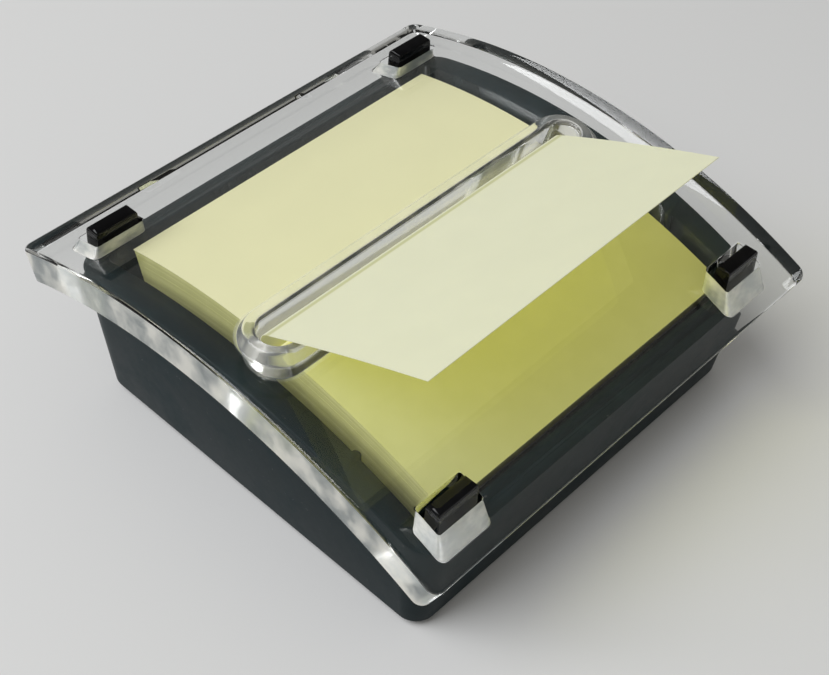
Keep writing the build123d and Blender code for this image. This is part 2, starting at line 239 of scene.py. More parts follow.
class BaseLook(bpy.types.PropertyGroup):
    """Black tray, posts and underside."""
    shell: bpy.props.FloatVectorProperty(
        name="Tray", description="Colour of the moulded tray", subtype="COLOR",
        default=(0.008, 0.017, 0.020), min=0, max=1,
    )
    post: bpy.props.FloatVectorProperty(
        name="Posts", description="Colour of the polished guide posts", subtype="COLOR",
        default=(0.002, 0.002, 0.0025), min=0, max=1,
    )


class StageLook(bpy.types.PropertyGroup):
    """Floor, window and room."""
    floor: bpy.props.FloatVectorProperty(
        name="Floor", description="Colour of the floor", subtype="COLOR",
        default=(0.68, 0.685, 0.69), min=0, max=1,
    )
    window: bpy.props.FloatProperty(
        name="Window", description="Power of the large soft light at the back left, in watts",
        default=16.2, min=0, max=100,
    )
    fill: bpy.props.FloatProperty(
        name="Fill", description="Strength of the light from all round",
        default=0.34, min=0, max=5,
    )
    mirrored: bpy.props.FloatProperty(
        name="Mirrored room", description="Brightness of the room that gloss shows",
        default=0.1, min=0, max=5,
    )
    through: bpy.props.FloatProperty(
        name="Room through plastic", description="Brightness of the room that clear plastic shows",
        default=0.28, min=0, max=5,
    )


# ---------------------------------------------------------------- shader helpers

class Value:
    """A shader socket; Python operators on it add Math nodes."""

    def __init__(self, shader, socket):
        self.shader = shader
        self.socket = socket

    def maths(self, operation, *values):
        """What a Math node makes of these values."""
        node = self.shader.node("ShaderNodeMath", {"operation": operation}, dict(enumerate(values)))
        return Value(self.shader, node.outputs[0])

    def __add__(self, other):
        return self.maths("ADD", self, other)

    def __radd__(self, other):
        return self.maths("ADD", other, self)

    def __sub__(self, other):
        return self.maths("SUBTRACT", self, other)

    def __rsub__(self, other):
        return self.maths("SUBTRACT", other, self)

    def __mul__(self, other):
        return self.maths("MULTIPLY", self, other)

    def __rmul__(self, other):
        return self.maths("MULTIPLY", other, self)

    def __pow__(self, other):
        return self.maths("POWER", self, other)

    def step_over(self, low, high):
        """0 below low, 1 above high, smooth between."""
        node = self.shader.node(
            "ShaderNodeMapRange", {"interpolation_type": "SMOOTHSTEP"},
            {"Value": self, "From Min": low, "From Max": high},
        )
        return Value(self.shader, node.outputs[0])


class Shader:
    """A new material or world with an empty node tree, and short ways to fill it."""

    def __init__(self, name, world=False):
        self.owner = (bpy.data.worlds if world else bpy.data.materials).new(name)
        self.output = "ShaderNodeOutputWorld" if world else "ShaderNodeOutputMaterial"
        self.owner.use_nodes = True
        self.tree = self.owner.node_tree
        self.tree.nodes.clear()

    def node(self, kind, settings=None, values=None):
        """A node of a kind: its settings first, then the values or links of its sockets."""
        made = self.tree.nodes.new(kind)
        for key, setting in (settings or {}).items():
            setattr(made, key, setting)
        for key, value in (values or {}).items():
            if isinstance(value, Value):
                self.tree.links.new(value.socket, made.inputs[key])
            elif isinstance(value, bpy.types.NodeSocket):
                self.tree.links.new(value, made.inputs[key])
            else:
                made.inputs[key].default_value = value
        return made

    def place(self, scale=(1, 1, 1)):
        """Object coordinates, scaled."""
        coordinates = self.node("ShaderNodeTexCoord")
        mapping = self.node(
            "ShaderNodeMapping", None, {"Vector": coordinates.outputs["Object"], "Scale": scale}
        )
        return mapping.outputs[0]

    def coordinate(self, axis):
        """One of the object coordinates: 0, 1 or 2 for X, Y or Z."""
        place = self.node("ShaderNodeSeparateXYZ", None, {0: self.place()})
        return Value(self, place.outputs[axis])

    def noise(self, size, detail, roughness, scale=(1, 1, 1)):
        """Noise whose largest features are about this many metres."""
        made = self.node("ShaderNodeTexNoise", None, {
            "Vector": self.place(scale), "Scale": 1 / size,
            "Detail": detail, "Roughness": roughness,
        })
        return Value(self, made.outputs[0])

    def mix(self, factor, first, second):
        """Colour between two colours."""
        made = self.node(
            "ShaderNodeMix", {"data_type": "RGBA"}, {0: factor, 6: first, 7: second}
        )
        return made.outputs[2]

    def bump(self, height, strength, distance):
        """Normal of a surface that rises by this height."""
        made = self.node(
            "ShaderNodeBump", None, {"Height": height, "Strength": strength, "Distance": distance}
        )
        return made.outputs[0]

    def principled(self, **values):
        """The main surface; its sockets are named with underscores for spaces."""
        sockets = {key.replace("_", " "): value for key, value in values.items()}
        return self.node("ShaderNodeBsdfPrincipled", None, sockets)

    def blend(self, factor, first, second):
        """Surface between two surfaces."""
        return self.node(
            "ShaderNodeMixShader", None, {0: factor, 1: first.outputs[0], 2: second.outputs[0]}
        )

    def finish(self, last):
        """Joins the last node to the output and gives back the material or world."""
        self.node(self.output, None, {"Surface": last.outputs[0]})
        return self.owner


def solid(colour):
    """A colour as a socket takes it."""
    return (*colour, 1.0)


def shade(colour, factor):
    """A colour made lighter or darker."""
    return (*(min(1.0, part * factor) for part in colour), 1.0)


def tinted(colour, factors):
    """A colour of which each part has a factor of its own."""
    return (*(part * factor for part, factor in zip(colour, factors)), 1.0)


# ---------------------------------------------------------------- materials

def moulded_plastic(name, colour, roughness, gloss):
    """Black plastic with a fine moulded grain, faint marks and a little dust."""
    shader = Shader(name)
    grain = shader.noise(1.6 * MM, detail=2, roughness=0.5)
    marks = shader.noise(14 * MM, detail=4, roughness=0.6).step_over(0.42, 0.68)
    dust = shader.noise(0.9 * MM, detail=2, roughness=0.7).step_over(0.70, 0.78)
    base = shader.mix(marks, shade(colour, 0.85), shade(colour, 1.2))
    return shader.finish(shader.principled(
        Base_Color=shader.mix(dust * 0.25, base, DUST), Specular_IOR_Level=gloss,
        Roughness=roughness + 0.1 * marks + 0.08 * grain,
        Normal=shader.bump(grain, strength=0.04, distance=0.03 * MM),
    ))


def polished_plastic(name, colour):
    """Glossy black plastic with faint handling marks."""
    shader = Shader(name)
    smear = shader.noise(3 * MM, detail=3, roughness=0.55, scale=(1, 1, 0.4)).step_over(0.45, 0.7)
    return shader.finish(shader.principled(
        Base_Color=shader.mix(smear, solid(colour), shade(colour, 2.2)),
        Specular_IOR_Level=0.3, Roughness=0.06 + 0.08 * smear,
        Normal=shader.bump(smear, strength=0.1, distance=0.02 * MM),
    ))


def clear_plastic(name, tint, roughness=0.012, satin=0.0):
    """Clear acrylic with fine rubbing marks; lamps shine through it.

    Satin is the share of a satin skin, as a cut edge has, made pale as painted glow.
    """
    shader = Shader(name)
    rubs = shader.noise(1.2 * MM, detail=4, roughness=0.7, scale=(1, 6, 1)).step_over(0.60, 0.75)
    waves = shader.noise(30 * MM, detail=2, roughness=0.5)
    surface = shader.principled(
        Base_Color=shader.mix(rubs, solid(tint), shade(tint, 0.985)),
        Roughness=roughness + 0.05 * rubs,
        Normal=shader.bump(waves, strength=0.15, distance=0.25 * MM),
        Transmission_Weight=1.0, IOR=ACRYLIC_IOR,
    )
    # Pale satin skin: a satin cut face, with painted glow of light piped through the acrylic.
    if satin:
        cloud = shader.noise(7 * MM, detail=3, roughness=0.6).step_over(0.32, 0.66)
        glow_skin = shader.principled(
            Base_Color=shader.mix(cloud, GLOW_SKIN_DARK, GLOW_SKIN_PALE),
            Specular_IOR_Level=0.2, Roughness=0.45 + 0.2 * rubs,
        )
        surface = shader.blend(satin * (0.7 + 0.6 * cloud), surface, glow_skin)
    light = shader.node("ShaderNodeLightPath")
    shadow = Value(shader, light.outputs["Is Shadow Ray"])
    passing = shadow.maths("MAXIMUM", shadow, Value(shader, light.outputs["Is Diffuse Ray"]))
    clear = shader.node("ShaderNodeBsdfTransparent", None, {"Color": ACRYLIC_PASSED})
    return shader.finish(shader.blend(passing, surface, clear))


def paper_fibre(shader):
    """Fine fibres that run along X."""
    return shader.noise(0.5 * MM, detail=5, roughness=0.65, scale=(1, 2.2, 1))


def note_paper(name, paper, through, share, passed=None, shade_line_y=None):
    """Uncoated note paper: soft fibres, a faint mottle, and light that comes through.

    Share is the part of the surface that glows with light from behind. Passed is the colour of lamp
    light that a single sheet lets onto what lies under it, and the last argument is the Y of a
    painted shade line along X, where the sheet bends over the lip.
    """
    shader = Shader(name)
    fibre = paper_fibre(shader)
    mottle = shader.noise(9 * MM, detail=4, roughness=0.55).step_over(0.35, 0.68)
    base = shader.mix(mottle, shade(paper, 0.99), shade(paper, 1.008))
    if shade_line_y is not None:
        # Painted shade: a soft dark line along X where the note bends over the lip.
        away = shader.coordinate(1) - shade_line_y
        shade_band = 1 - away.maths("ABSOLUTE", away).step_over(0.15 * MM, 0.7 * MM)
        base = shader.mix(shade_band * 0.85, base, tinted(paper, PAINTED_LINE_SHADE))
    surface = shader.principled(
        Base_Color=base, Specular_IOR_Level=0.25, Roughness=0.82 + 0.1 * fibre,
        Normal=shader.bump(fibre, strength=0.25, distance=0.02 * MM),
    )
    glow = shader.node("ShaderNodeBsdfTranslucent", None, {"Color": solid(through)})
    surface = shader.blend(share, surface, glow)
    if passed:
        light = shader.node("ShaderNodeLightPath")
        thin = shader.node("ShaderNodeBsdfTransparent", None, {"Color": solid(passed)})
        surface = shader.blend(light.outputs["Is Shadow Ray"], surface, thin)
    return shader.finish(surface)


def pad_paper(name, paper):
    """Cut sides of a pad: sheets on the arch, some darker than others, in darker copies of the
    paper as painted shade.
    """
    shader = Shader(name)
    across = shader.coordinate(1) - CROWN_Y
    upward = shader.coordinate(2) - AXIS_Z
    radius = (across ** 2.0 + upward ** 2.0) ** 0.5
    sheets = shader.node(
        "ShaderNodeTexNoise", {"noise_dimensions": "1D"},
        {"W": radius, "Scale": 1 / SHEET_GROUP, "Detail": 2.0, "Roughness": 0.6},
    )
    lines = Value(shader, sheets.outputs[0]).step_over(0.25, 0.8)
    worn = shader.noise(5 * MM, detail=4, roughness=0.6).step_over(0.4, 0.65)
    fibre = paper_fibre(shader)
    # Painted shade: the cut sides take darker copies of the paper's colour; the sheets differ at
    # random.
    base = shader.mix(
        lines * (0.6 + 0.4 * worn), tinted(paper, SIDE_SHADE_DEEP), tinted(paper, SIDE_SHADE_PALE)
    )
    return shader.finish(shader.principled(
        Base_Color=base, Specular_IOR_Level=0.2, Roughness=0.85 + 0.1 * fibre,
        Normal=shader.bump(lines, strength=0.1, distance=0.03 * MM),
    ))


def grey_card(name):
    """Grey board with flecks of pulp."""
    shader = Shader(name)
    pulp = shader.noise(0.8 * MM, detail=4, roughness=0.7)
    return shader.finish(shader.principled(
        Base_Color=shader.mix(pulp.step_over(0.4, 0.7), CARD_DARK, CARD_PALE), Roughness=0.9,
        Normal=shader.bump(pulp, strength=0.3, distance=0.03 * MM),
    ))


def rolled_steel(name, colour, streak):
    """Bare steel; streak is the noise's scale along X, Y and Z."""
    shader = Shader(name)
    lines = shader.noise(1.5 * MM, detail=5, roughness=0.7, scale=streak)
    stain = shader.noise(18 * MM, detail=3, roughness=0.5).step_over(0.45, 0.7)
    return shader.finish(shader.principled(
        Base_Color=shader.mix(stain, solid(colour), shade(colour, 0.75)),
        Metallic=1.0, Roughness=0.3 + 0.2 * lines,
        Normal=shader.bump(lines, strength=0.2, distance=0.02 * MM),
    ))


def foot_rubber(name):
    """Dull black rubber, greyed where it has rubbed."""
    shader = Shader(name)
    grain = shader.noise(0.4 * MM, detail=4, roughness=0.7)
    worn = shader.noise(4 * MM, detail=3, roughness=0.6).step_over(0.5, 0.72)
    return shader.finish(shader.principled(
        Base_Color=shader.mix(worn, RUBBER, RUBBER_WORN), Roughness=0.75 + 0.15 * grain,
        Normal=shader.bump(grain, strength=0.4, distance=0.05 * MM),
    ))


# ---------------------------------------------------------------- mesh helpers

def arc_z(radius, y):
    """Height of the shared arch of this radius over y."""
    return AXIS_Z + math.sqrt(radius ** 2 - (y - CROWN_Y) ** 2)


def on_arch(radius, x, angle):
    """Point of the arch at an angle from the crown, positive to the back."""
    return Vector((x, CROWN_Y + radius * math.sin(angle), AXIS_Z + radius * math.cos(angle)))


def rounded_outline(width, depth, corner, along_x, along_y, turn):
    """Plan points of a rounded rectangle about (0, 0), anticlockwise, evenly divided."""
    half_x = width / 2 - corner
    half_y = depth / 2 - corner
    middles = ((half_x, half_y), (-half_x, half_y), (-half_x, -half_y), (half_x, -half_y))
    points = []
    for quarter, (mx, my) in enumerate(middles):
        for step in range(turn + 1):
            angle = (quarter + step / turn) * math.pi / 2
            points.append(Vector((mx + corner * math.cos(angle), my + corner * math.sin(angle))))
        count = along_x if quarter % 2 == 0 else along_y
        nx, ny = middles[(quarter + 1) % 4]
        angle = (quarter + 1) * math.pi / 2
        end = Vector((nx + corner * math.cos(angle), ny + corner * math.sin(angle)))
        start = points[-1]
        points += [start.lerp(end, step / count) for step in range(1, count)]
    return points


def rounded_profile(points, radii, steps):
    """Profile of straight runs whose inner corners are arcs of these radii."""
    made = [Vector(points[0])]
    for before, corner, after, radius in zip(points, points[1:], points[2:], radii):
        corner = Vector(corner)
        to_start = (Vector(before) - corner).normalized()
        to_end = (Vector(after) - corner).normalized()
        half = to_start.angle(to_end) / 2
        reach = radius / math.tan(half)
        centre = corner + (to_start + to_end).normalized() * radius / math.sin(half)
        first = (corner + to_start * reach - centre).normalized()
        last = (corner + to_end * reach - centre).normalized()
        for step in range(steps + 1):
            made.append(centre + radius * first.slerp(last, step / steps).normalized())
    made.append(Vector(points[-1]))
    return made


def ring(bm, points):
    """New points of a mesh, kept in their order."""
    return [bm.verts.new(point) for point in points]


def join_rings(bm, rings, finish=CLEAR):
    """Quads between rings that have as many points each; finish is their material's slot."""
    faces = []
    for lower, upper in zip(rings, rings[1:]):
        for index in range(len(lower)):
            after = (index + 1) % len(lower)
            face = bm.faces.new((lower[index], lower[after], upper[after], upper[index]))
            face.material_index = finish
            faces.append(face)
    return faces


def join_wall(bm, rings, steps, strips, x=0, y=0):
    """Joins rings whose profile is an arc of some steps, a wall and a second arc.

    The wall and a few strips of each arc have the finish of a cut edge, with its painted glow. Its
    sides to the right of the point (x, y) and behind it stay clear.
    """
    first = steps + 1 - strips
    last = steps + 2 + strips
    join_rings(bm, rings[:first + 1])
    for face in join_rings(bm, rings[first:last + 1], CUT):
        face.normal_update()
        middle = face.calc_center_median()
        right = abs(face.normal.x) > FACING and middle.x > x
        behind = abs(face.normal.y) > FACING and middle.y > y
        if right or behind:
            face.material_index = CLEAR
    join_rings(bm, rings[last:])


def inside(point, outline):
    """Whether a plan point is inside a closed outline."""
    crossed = False
    x, y = point
    for start, end in zip(outline, outline[1:] + outline[:1]):
        if (start.y > y) != (end.y > y):
            if x < start.x + (y - start.y) * (end.x - start.x) / (end.y - start.y):
                crossed = not crossed
    return crossed


def arched_face(bm, outer, holes, radius, grid):
    """Fills an arched face between an outer ring and hole rings, over points on a grid."""
    rims = [outer] + holes
    outlines = [[vert.co.xy.copy() for vert in rim] for rim in rims]
    verts = [vert for rim in rims for vert in rim]
    points = [point for outline in outlines for point in outline]
    edges = []
    start = 0
    for outline in outlines:
        count = len(outline)
        edges += [(start + index, start + (index + 1) % count) for index in range(count)]
        start += count
    low = Vector((min(p.x for p in outlines[0]), min(p.y for p in outlines[0])))
    high = Vector((max(p.x for p in outlines[0]), max(p.y for p in outlines[0])))
    columns = round((high.x - low.x) / grid)
    rows = round((high.y - low.y) / grid)
    for column in range(1, columns):
        for row in range(1, rows):
            x = low.x + (high.x - low.x) * column / columns
            y = low.y + (high.y - low.y) * row / rows
            point = Vector((x, y))
            if min((point - rim_point).length for rim_point in points[:start]) < grid / 2:
                continue
            if inside(point, outlines[0]) and not any(inside(point, hole) for hole in outlines[1:]):
                points.append(point)
                verts.append(bm.verts.new((x, y, arc_z(radius, y))))
    made = delaunay_2d_cdt(points, edges, [], 0, SAME_POINT)
    sources = [origin[0] for origin in made[3]]
    for triangle in made[2]:
        corners = [verts[sources[index]] for index in triangle]
        middle = sum((corner.co.xy for corner in corners), Vector((0, 0))) / 3
        if inside(middle, outlines[0]) and not any(inside(middle, hole) for hole in outlines[1:]):
            bm.faces.new(corners)


def mesh_from(bm, name):
    """The mesh of a bmesh, which is freed."""
    mesh = bpy.data.meshes.new(name)
    bm.to_mesh(mesh)
    bm.free()
    return mesh


def dress(name, mesh, material, body, *replaced, sharp):
    """A smooth piece of a mesh that rides on a body; its finish may be a tuple of materials."""
    if not mesh.materials:
        for finish in material if isinstance(material, tuple) else (material,):
            mesh.materials.append(finish)
    mesh.polygons.foreach_set("use_smooth", [True] * len(mesh.polygons))
    mesh.set_sharp_from_angle(angle=sharp)
    piece = bpy.data.objects.new(name, mesh)
    bpy.context.scene.collection.objects.link(piece)
    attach(piece, body)
    if replaced:
        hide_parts(*replaced)
    return piece


def smooth_copy(node, material, body):
    """A merged copy of a packed node, smooth over its round faces."""
    bm = bmesh.new()
    bm.from_mesh(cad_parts[node].data)
    bmesh.ops.remove_doubles(bm, verts=bm.verts, dist=MERGE_REACH)
    bmesh.ops.dissolve_degenerate(bm, edges=bm.edges, dist=MERGE_REACH)
    mesh = mesh_from(bm, node + "_finished")
    return dress(mesh.name, mesh, material, body, node, sharp=COPY_SHARP)


def paint(node, material):
    """Gives a packed node its finish."""
    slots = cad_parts[node].data.materials
    slots.clear()
    slots.append(material)


# ---------------------------------------------------------------- clear cover

def cover_outer_rings(bm, look):
    """Rings of the cover's outer edge, from the upper face to the underside, square to the arch."""
    start = math.asin((cover_low.y - CROWN_Y) / COVER_RADIUS)
    end = math.asin((cover_high.y - CROWN_Y) / COVER_RADIUS)
    length = (end - start) * COVER_RADIUS
    middle = (start + end) / 2
    width = cover_high.x - cover_low.x
    profile = rounded_profile(
        ((-2 * look.edge, 0), (0, 0), (0, -COVER_THICKNESS), (-2 * UNDER_EDGE, -COVER_THICKNESS)),
        (look.edge, UNDER_EDGE), OUTER_STEPS,
    )
    rings = []
    for grow, height in profile:
        outline = rounded_outline(
            width + 2 * grow, length + 2 * grow, COVER_CORNER + grow, *OUTER_COUNTS
        )
        rings.append(ring(bm, [
            on_arch(COVER_RADIUS + height, point.x, middle + point.y / COVER_RADIUS)
            for point in outline
        ]))
    return rings


def upright_rings(bm, profile, width, depth, corner, x, y, counts):
    """Rings of an upright opening: a profile point grows the plan and gives the height."""
    rings = []
    for grow, height in profile:
        outline = rounded_outline(width + 2 * grow, depth + 2 * grow, corner + grow, *counts)
        rings.append(ring(bm, [
            (x + point.x, y + point.y, arc_z(COVER_RADIUS + height, y + point.y))
            for point in outline
        ]))
    return rings


def lip_profile(look):
    """Across the lip: foot, outer flank, round top, tapered wall of the slot, underside."""
    foot = LIP_WIDTH + LIP_HEIGHT * math.tan(LIP_TAPER)
    opening = (LIP_HEIGHT + COVER_THICKNESS) * math.tan(SLOT_TAPER)
    return rounded_profile(
        (
            (foot + LIP_RUN, 0), (foot, 0), (LIP_WIDTH, LIP_HEIGHT), (0, LIP_HEIGHT),
            (opening, -COVER_THICKNESS), (opening + LIP_RUN, -COVER_THICKNESS),
        ),
        (LIP_FOOT, look.lip_round, look.lip_round, UNDER_EDGE), LIP_STEPS,
    )


def hole_profile():
    """Down a post hole: upper face, tapered wall, underside."""
    opening = COVER_THICKNESS * math.tan(HOLE_TAPER)
    run = 2 * HOLE_EDGE
    return rounded_profile(
        ((run, 0), (0, 0), (opening, -COVER_THICKNESS), (opening + run, -COVER_THICKNESS)),
        (HOLE_EDGE, UNDER_EDGE), HOLE_STEPS,
    )


class MEMO_OT_cover(bpy.types.Operator):
    """Build the clear arched cover with its lipped slot and four post holes"""
    bl_idname = "memo.cover"
    bl_label = "Clear cover"

    def execute(self, context):
        look = context.scene.memo_cover
        bm = bmesh.new()
        outer = cover_outer_rings(bm, look)
        join_wall(bm, outer, OUTER_STEPS, OUTER_STRIPS)
        openings = [upright_rings(
            bm, lip_profile(look), SLOT_LENGTH, SLOT_WIDTH, SLOT_CORNER,
            SLOT_X, SLOT_Y, SLOT_COUNTS,
        )]
        places = []
        for corner in CORNERS:
            low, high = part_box("guide_post_" + corner)
            places.append(((low.x + high.x) / 2, (low.y + high.y) / 2 + HOLE_SHIFT))
            openings.append(upright_rings(
                bm, hole_profile(), HOLE_WIDTH, HOLE_DEPTH, HOLE_CORNER, *places[-1], HOLE_COUNTS
            ))
        join_rings(bm, openings[0], LIP)
        for place, rings in zip(places, openings[1:]):
            join_wall(bm, rings, HOLE_STEPS, HOLE_STRIPS, *place)
        above = [rings[0] for rings in openings]
        below = [rings[-1] for rings in openings]
        arched_face(bm, outer[0], above, COVER_RADIUS, look.grid)
        arched_face(bm, outer[-1], below, UNDER_RADIUS, look.grid)
        bmesh.ops.recalc_face_normals(bm, faces=bm.faces)
        # The cut and lip finishes are pale: painted glow of light piped through the acrylic.
        finishes = (
            clear_plastic("clear_acrylic", look.tint),
            clear_plastic("cut_acrylic", look.tint, roughness=0.3, satin=0.45),
            clear_plastic("lip_acrylic", look.tint, roughness=0.1, satin=0.15),
        )
        name = "clear_cover_finished"
        piece = dress(
            name, mesh_from(bm, name), finishes, "cover", "clear_cover", sharp=COVER_SHARP
        )
        return {"FINISHED"}


# ---------------------------------------------------------------- notes

def swept_sheet(node, line, x_low, x_high, thickness, material, body, twist=(0, 0)):
    """A thin sheet along X whose side view is a line of (y, z) points, its thickness below it.

    The twist moves the right end of the line's last point, and less towards the line's middle and
    to the left.
    """
    twist = Vector(twist)
    bm = bmesh.new()
    grid = []
    for index, point in enumerate(line):
        along = max(0.0, 2 * index / (len(line) - 1) - 1)
        row = []
        for column in range(NOTE_COLUMNS + 1):
            across = column / NOTE_COLUMNS
            moved = point + twist * across * along
            row.append(bm.verts.new((x_low + (x_high - x_low) * across, moved.x, moved.y)))
        grid.append(row)
    for low, high in zip(grid, grid[1:]):
        for column in range(NOTE_COLUMNS):
            bm.faces.new((low[column], low[column + 1], high[column + 1], high[column]))
    bmesh.ops.recalc_face_normals(bm, faces=bm.faces)
    bmesh.ops.solidify(bm, geom=bm.faces[:], thickness=thickness)
    bmesh.ops.recalc_face_normals(bm, faces=bm.faces)
    name = node + "_finished"
    piece = dress(name, mesh_from(bm, name), material, body, node, sharp=PAPER_SHARP)


def next_note_line(thickness):
    """Side view of the pad's top sheet: along the arch, then a short curl up into the slot."""
    radius = NEXT_RADIUS - NOTE_SKIN / 2 - thickness / 2
    end = math.asin((next_high.y - CROWN_Y) / NEXT_RADIUS)
    start = math.asin((next_low.y + CURL_RADIUS + PAPER_PLAY - CROWN_Y) / radius)
    line = []
    for step in range(NEXT_STEPS + 1):
        point = on_arch(radius, 0, end + (start - end) * step / NEXT_STEPS)
        line.append(Vector((point.y, point.z)))
    foot = line[-1]
    for step in range(1, CURL_STEPS + 1):
        angle = CURL_TURN * step / CURL_STEPS
        line.append(foot + Vector((
            -CURL_RADIUS * math.sin(angle), CURL_RADIUS * (1 - math.cos(angle)),
        )))
    tip = Vector((-math.cos(CURL_TURN), math.sin(CURL_TURN)))
    line.append(line[-1] + tip * (next_high.z - line[-1].y) * CURL_TIP)
    return line


def standing_note_line(bow):
    """Side view of the note in use: up the back of the slot, over the lip, to its free edge."""
    rise, bend, run = NOTE_STEPS
    top = note_high.y - PAPER_PLAY
    centre = Vector((top - NOTE_BEND, NOTE_TURN_Z))
    line = [
        Vector((top, note_low.z + (NOTE_TURN_Z - note_low.z) * step / rise)) for step in range(rise)
    ]
    for step in range(bend + 1):
        angle = math.pi / 2 + (NOTE_LEAN - math.pi / 2) * step / bend
        line.append(centre + NOTE_BEND * Vector((math.sin(angle), math.cos(angle))))
    start = line[-1]
    reach = (start.x - note_low.y) / math.cos(NOTE_LEAN)
    forward = Vector((-math.cos(NOTE_LEAN), math.sin(NOTE_LEAN)))
    upward = Vector((math.sin(NOTE_LEAN), math.cos(NOTE_LEAN)))
    for step in range(1, run + 1):
        share = step / run
        line.append(start + forward * reach * share + upward * bow * math.sin(math.pi * share))
    return line


def pad_leaf(leaves):
    """One group of sheets at the bottom of the pad, as a closed arched mesh."""
    inner = STACK_RADIUS - STACK_THICKNESS
    outer = inner + STACK_THICKNESS / leaves
    start = math.asin((stack_low.y + 2 * PAPER_PLAY - CROWN_Y) / STACK_RADIUS)
    end = math.asin((stack_high.y - 2 * PAPER_PLAY - CROWN_Y) / STACK_RADIUS)
    half = NOTE_SIZE / 2 - PAPER_PLAY
    corners = ((inner, -half), (inner, half), (outer, half), (outer, -half))
    bm = bmesh.new()
    rings = []
    for step in range(LEAF_ROWS + 1):
        angle = start + (end - start) * step / LEAF_ROWS
        rings.append(ring(bm, [on_arch(radius, x, angle) for radius, x in corners]))
    join_rings(bm, rings)
    bm.faces.new(rings[0])
    bm.faces.new(rings[-1])
    bmesh.ops.recalc_face_normals(bm, faces=bm.faces)
    return mesh_from(bm, "pad_leaf")


def pad_tree(material):
    """Geometry Nodes that stack a leaf outwards from the arch's axis, each a little out of line.

    Gives the tree and the names of its inputs for the leaves, the growth and the unevenness.
    """
    tree = bpy.data.node_groups.new("stack_leaves", "GeometryNodeTree")
    face = tree.interface
    face.new_socket("Geometry", in_out="INPUT", socket_type="NodeSocketGeometry")
    inputs = [
        face.new_socket(name, in_out="INPUT", socket_type=kind).identifier for name, kind in (
            ("Leaves", "NodeSocketInt"), ("Growth", "NodeSocketFloat"),
            ("Unevenness", "NodeSocketFloat"),
        )
    ]
    face.new_socket("Geometry", in_out="OUTPUT", socket_type="NodeSocketGeometry")

    def add(kind, links=None, **settings):
        node = tree.nodes.new(kind)
        for key, setting in settings.items():
            setattr(node, key, setting)
        for key, value in (links or {}).items():
            if isinstance(value, bpy.types.NodeSocket):
                tree.links.new(value, node.inputs[key])
            else:
                node.inputs[key].default_value = value
        return node

    given = add("NodeGroupInput")
    points = add("GeometryNodeMeshLine", {"Count": given.outputs["Leaves"], "Offset": (0, 0, 0)})
    copies = add("GeometryNodeInstanceOnPoints", {
        "Points": points.outputs[0], "Instance": given.outputs["Geometry"],
    })
    index = add("GeometryNodeInputIndex")
    swell = add(
        "ShaderNodeMath", {0: index.outputs[0], 1: given.outputs["Growth"], 2: 1.0},
        operation="MULTIPLY_ADD",
    )
    scale = add("ShaderNodeCombineXYZ", {"X": 1.0, "Y": swell.outputs[0], "Z": swell.outputs[0]})
    grown = add("GeometryNodeScaleInstances", {
        "Instances": copies.outputs[0], "Scale": scale.outputs[0],
        "Center": (0, CROWN_Y, AXIS_Z), "Local Space": False,
    })
    low, high = (
        add(
            "ShaderNodeVectorMath", {0: (side, side, 0), "Scale": given.outputs["Unevenness"]},
            operation="SCALE",
        )
        for side in (-1, 1)
    )
    shift = add(
        "FunctionNodeRandomValue",
        {"Min": low.outputs[0], "Max": high.outputs[0], "Seed": LEAF_SEED},
        data_type="FLOAT_VECTOR",
    )
    moved = add("GeometryNodeTranslateInstances", {
        "Instances": grown.outputs[0], "Translation": shift.outputs[0], "Local Space": False,
    })
    real = add("GeometryNodeRealizeInstances", {"Geometry": moved.outputs[0]})
    finished = add("GeometryNodeSetMaterial", {"Geometry": real.outputs[0], "Material": material})
    add("NodeGroupOutput", {0: finished.outputs[0]})
    return tree, *inputs


def plain_mesh(piece, name):
    """Mesh of an object as its modifiers leave it."""
    bpy.context.view_layer.update()
    evaluated = piece.evaluated_get(bpy.context.evaluated_depsgraph_get())
    mesh = bpy.data.meshes.new_from_object(evaluated)
    mesh.name = name
    bpy.data.objects.remove(piece)
    return mesh


class MEMO_OT_pad(bpy.types.Operator):
    """Build the pad from groups of sheets stacked on the arch, and finish the card under it"""
    bl_idname = "memo.pad"
    bl_label = "Pad of notes"

    def execute(self, context):
        look = context.scene.memo_note
        material = pad_paper("pad_paper", look.paper)
        source = bpy.data.objects.new("pad_source", pad_leaf(look.leaves))
        context.scene.collection.objects.link(source)
        tree, count, growth, uneven = pad_tree(material)
        modifier = source.modifiers.new("stack", "NODES")
        modifier.node_group = tree
        modifier[count] = look.leaves
        modifier[growth] = STACK_THICKNESS / look.leaves / (STACK_RADIUS - STACK_THICKNESS)
        modifier[uneven] = look.uneven
        name = "note_stack_finished"
        mesh = plain_mesh(source, name)
        piece = dress(name, mesh, material, "base", "note_stack", sharp=PAPER_SHARP)
        paint("backing_card", grey_card("grey_card"))
        return {"FINISHED"}


class MEMO_OT_notes(bpy.types.Operator):
    """Build the pad's top sheet and the note that stands up through the slot"""
    bl_idname = "memo.notes"
    bl_label = "Loose notes"

    def execute(self, context):
        look = context.scene.memo_note
        half = look.sheet / 2
        on_pad = note_paper("top_sheet_paper", look.paper, look.through, share=0.06)
        swept_sheet(
            "next_note", next_note_line(look.sheet), next_low.x + half, next_high.x - half,
            look.sheet, on_pad, "base",
        )
        free = note_paper(
            "standing_paper", look.loose, look.through, share=0.2,
            passed=NOTE_PASSED, shade_line_y=note_high.y - NOTE_SHADE_LINE,
        )
        swept_sheet(
            "standing_note", standing_note_line(look.bow), note_low.x, note_high.x,
            look.sheet, free, "note", NOTE_TWIST,
        )
        return {"FINISHED"}


# ---------------------------------------------------------------- base

